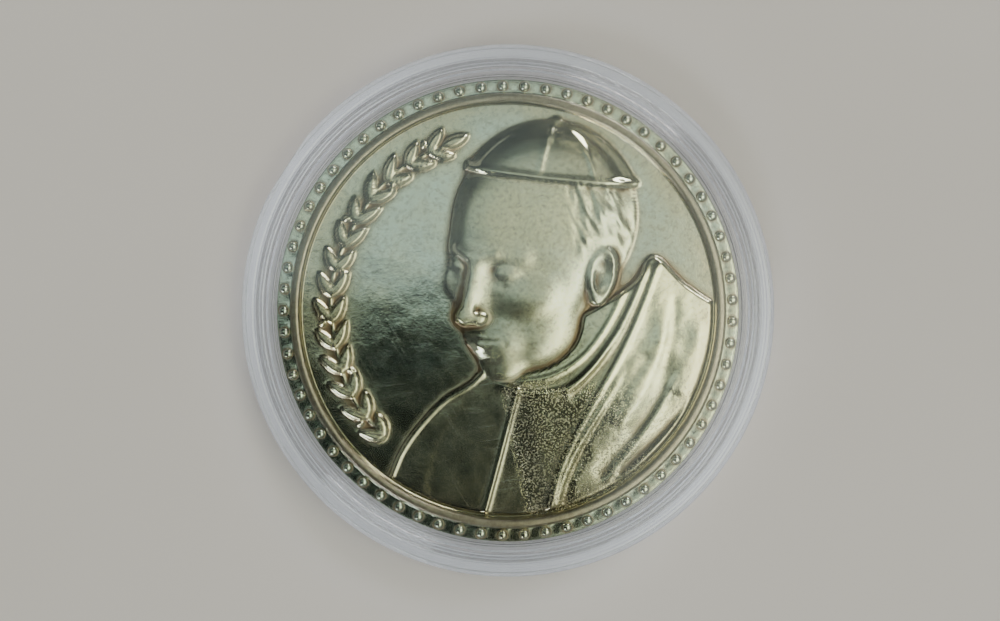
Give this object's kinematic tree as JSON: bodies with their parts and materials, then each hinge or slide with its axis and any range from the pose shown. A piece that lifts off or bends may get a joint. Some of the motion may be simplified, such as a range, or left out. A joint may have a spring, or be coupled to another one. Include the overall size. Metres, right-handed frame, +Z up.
{
  "type": "coin capsule",
  "caption": "Round clear two-part coin capsule with a lift-off lid, holding a brass relief medal with a beaded border.",
  "frame": {"origin": "on the capsule's axis, in the plane of the base guard ring that it stands on", "axes": "+Z up along the capsule's axis, from base to lid; +Y towards the top of the medal's design; the medal's head looks towards -X"},
  "size_m": [0.046, 0.046, 0.006],
  "materials": {
    "clear_shell": "clear moulded polystyrene, polished windows, slightly hazy rim",
    "struck_brass": "struck and polished, lightly aged, pale gold"
  },
  "bodies": {
    "base": {"base_shell": "clear_shell"},
    "medal": {"medal": "struck_brass"},
    "lid": {"lid_shell": "clear_shell"}
  },
  "joints": [
    {"name": "medal_lift", "type": "slide", "parent": "base", "child": "medal", "axis": [0, 0, 1], "range_m": [0, 0.015]},
    {"name": "lid_lift", "type": "slide", "parent": "medal", "child": "lid", "axis": [0, 0, 1], "range_m": [0, 0.03]}
  ]
}
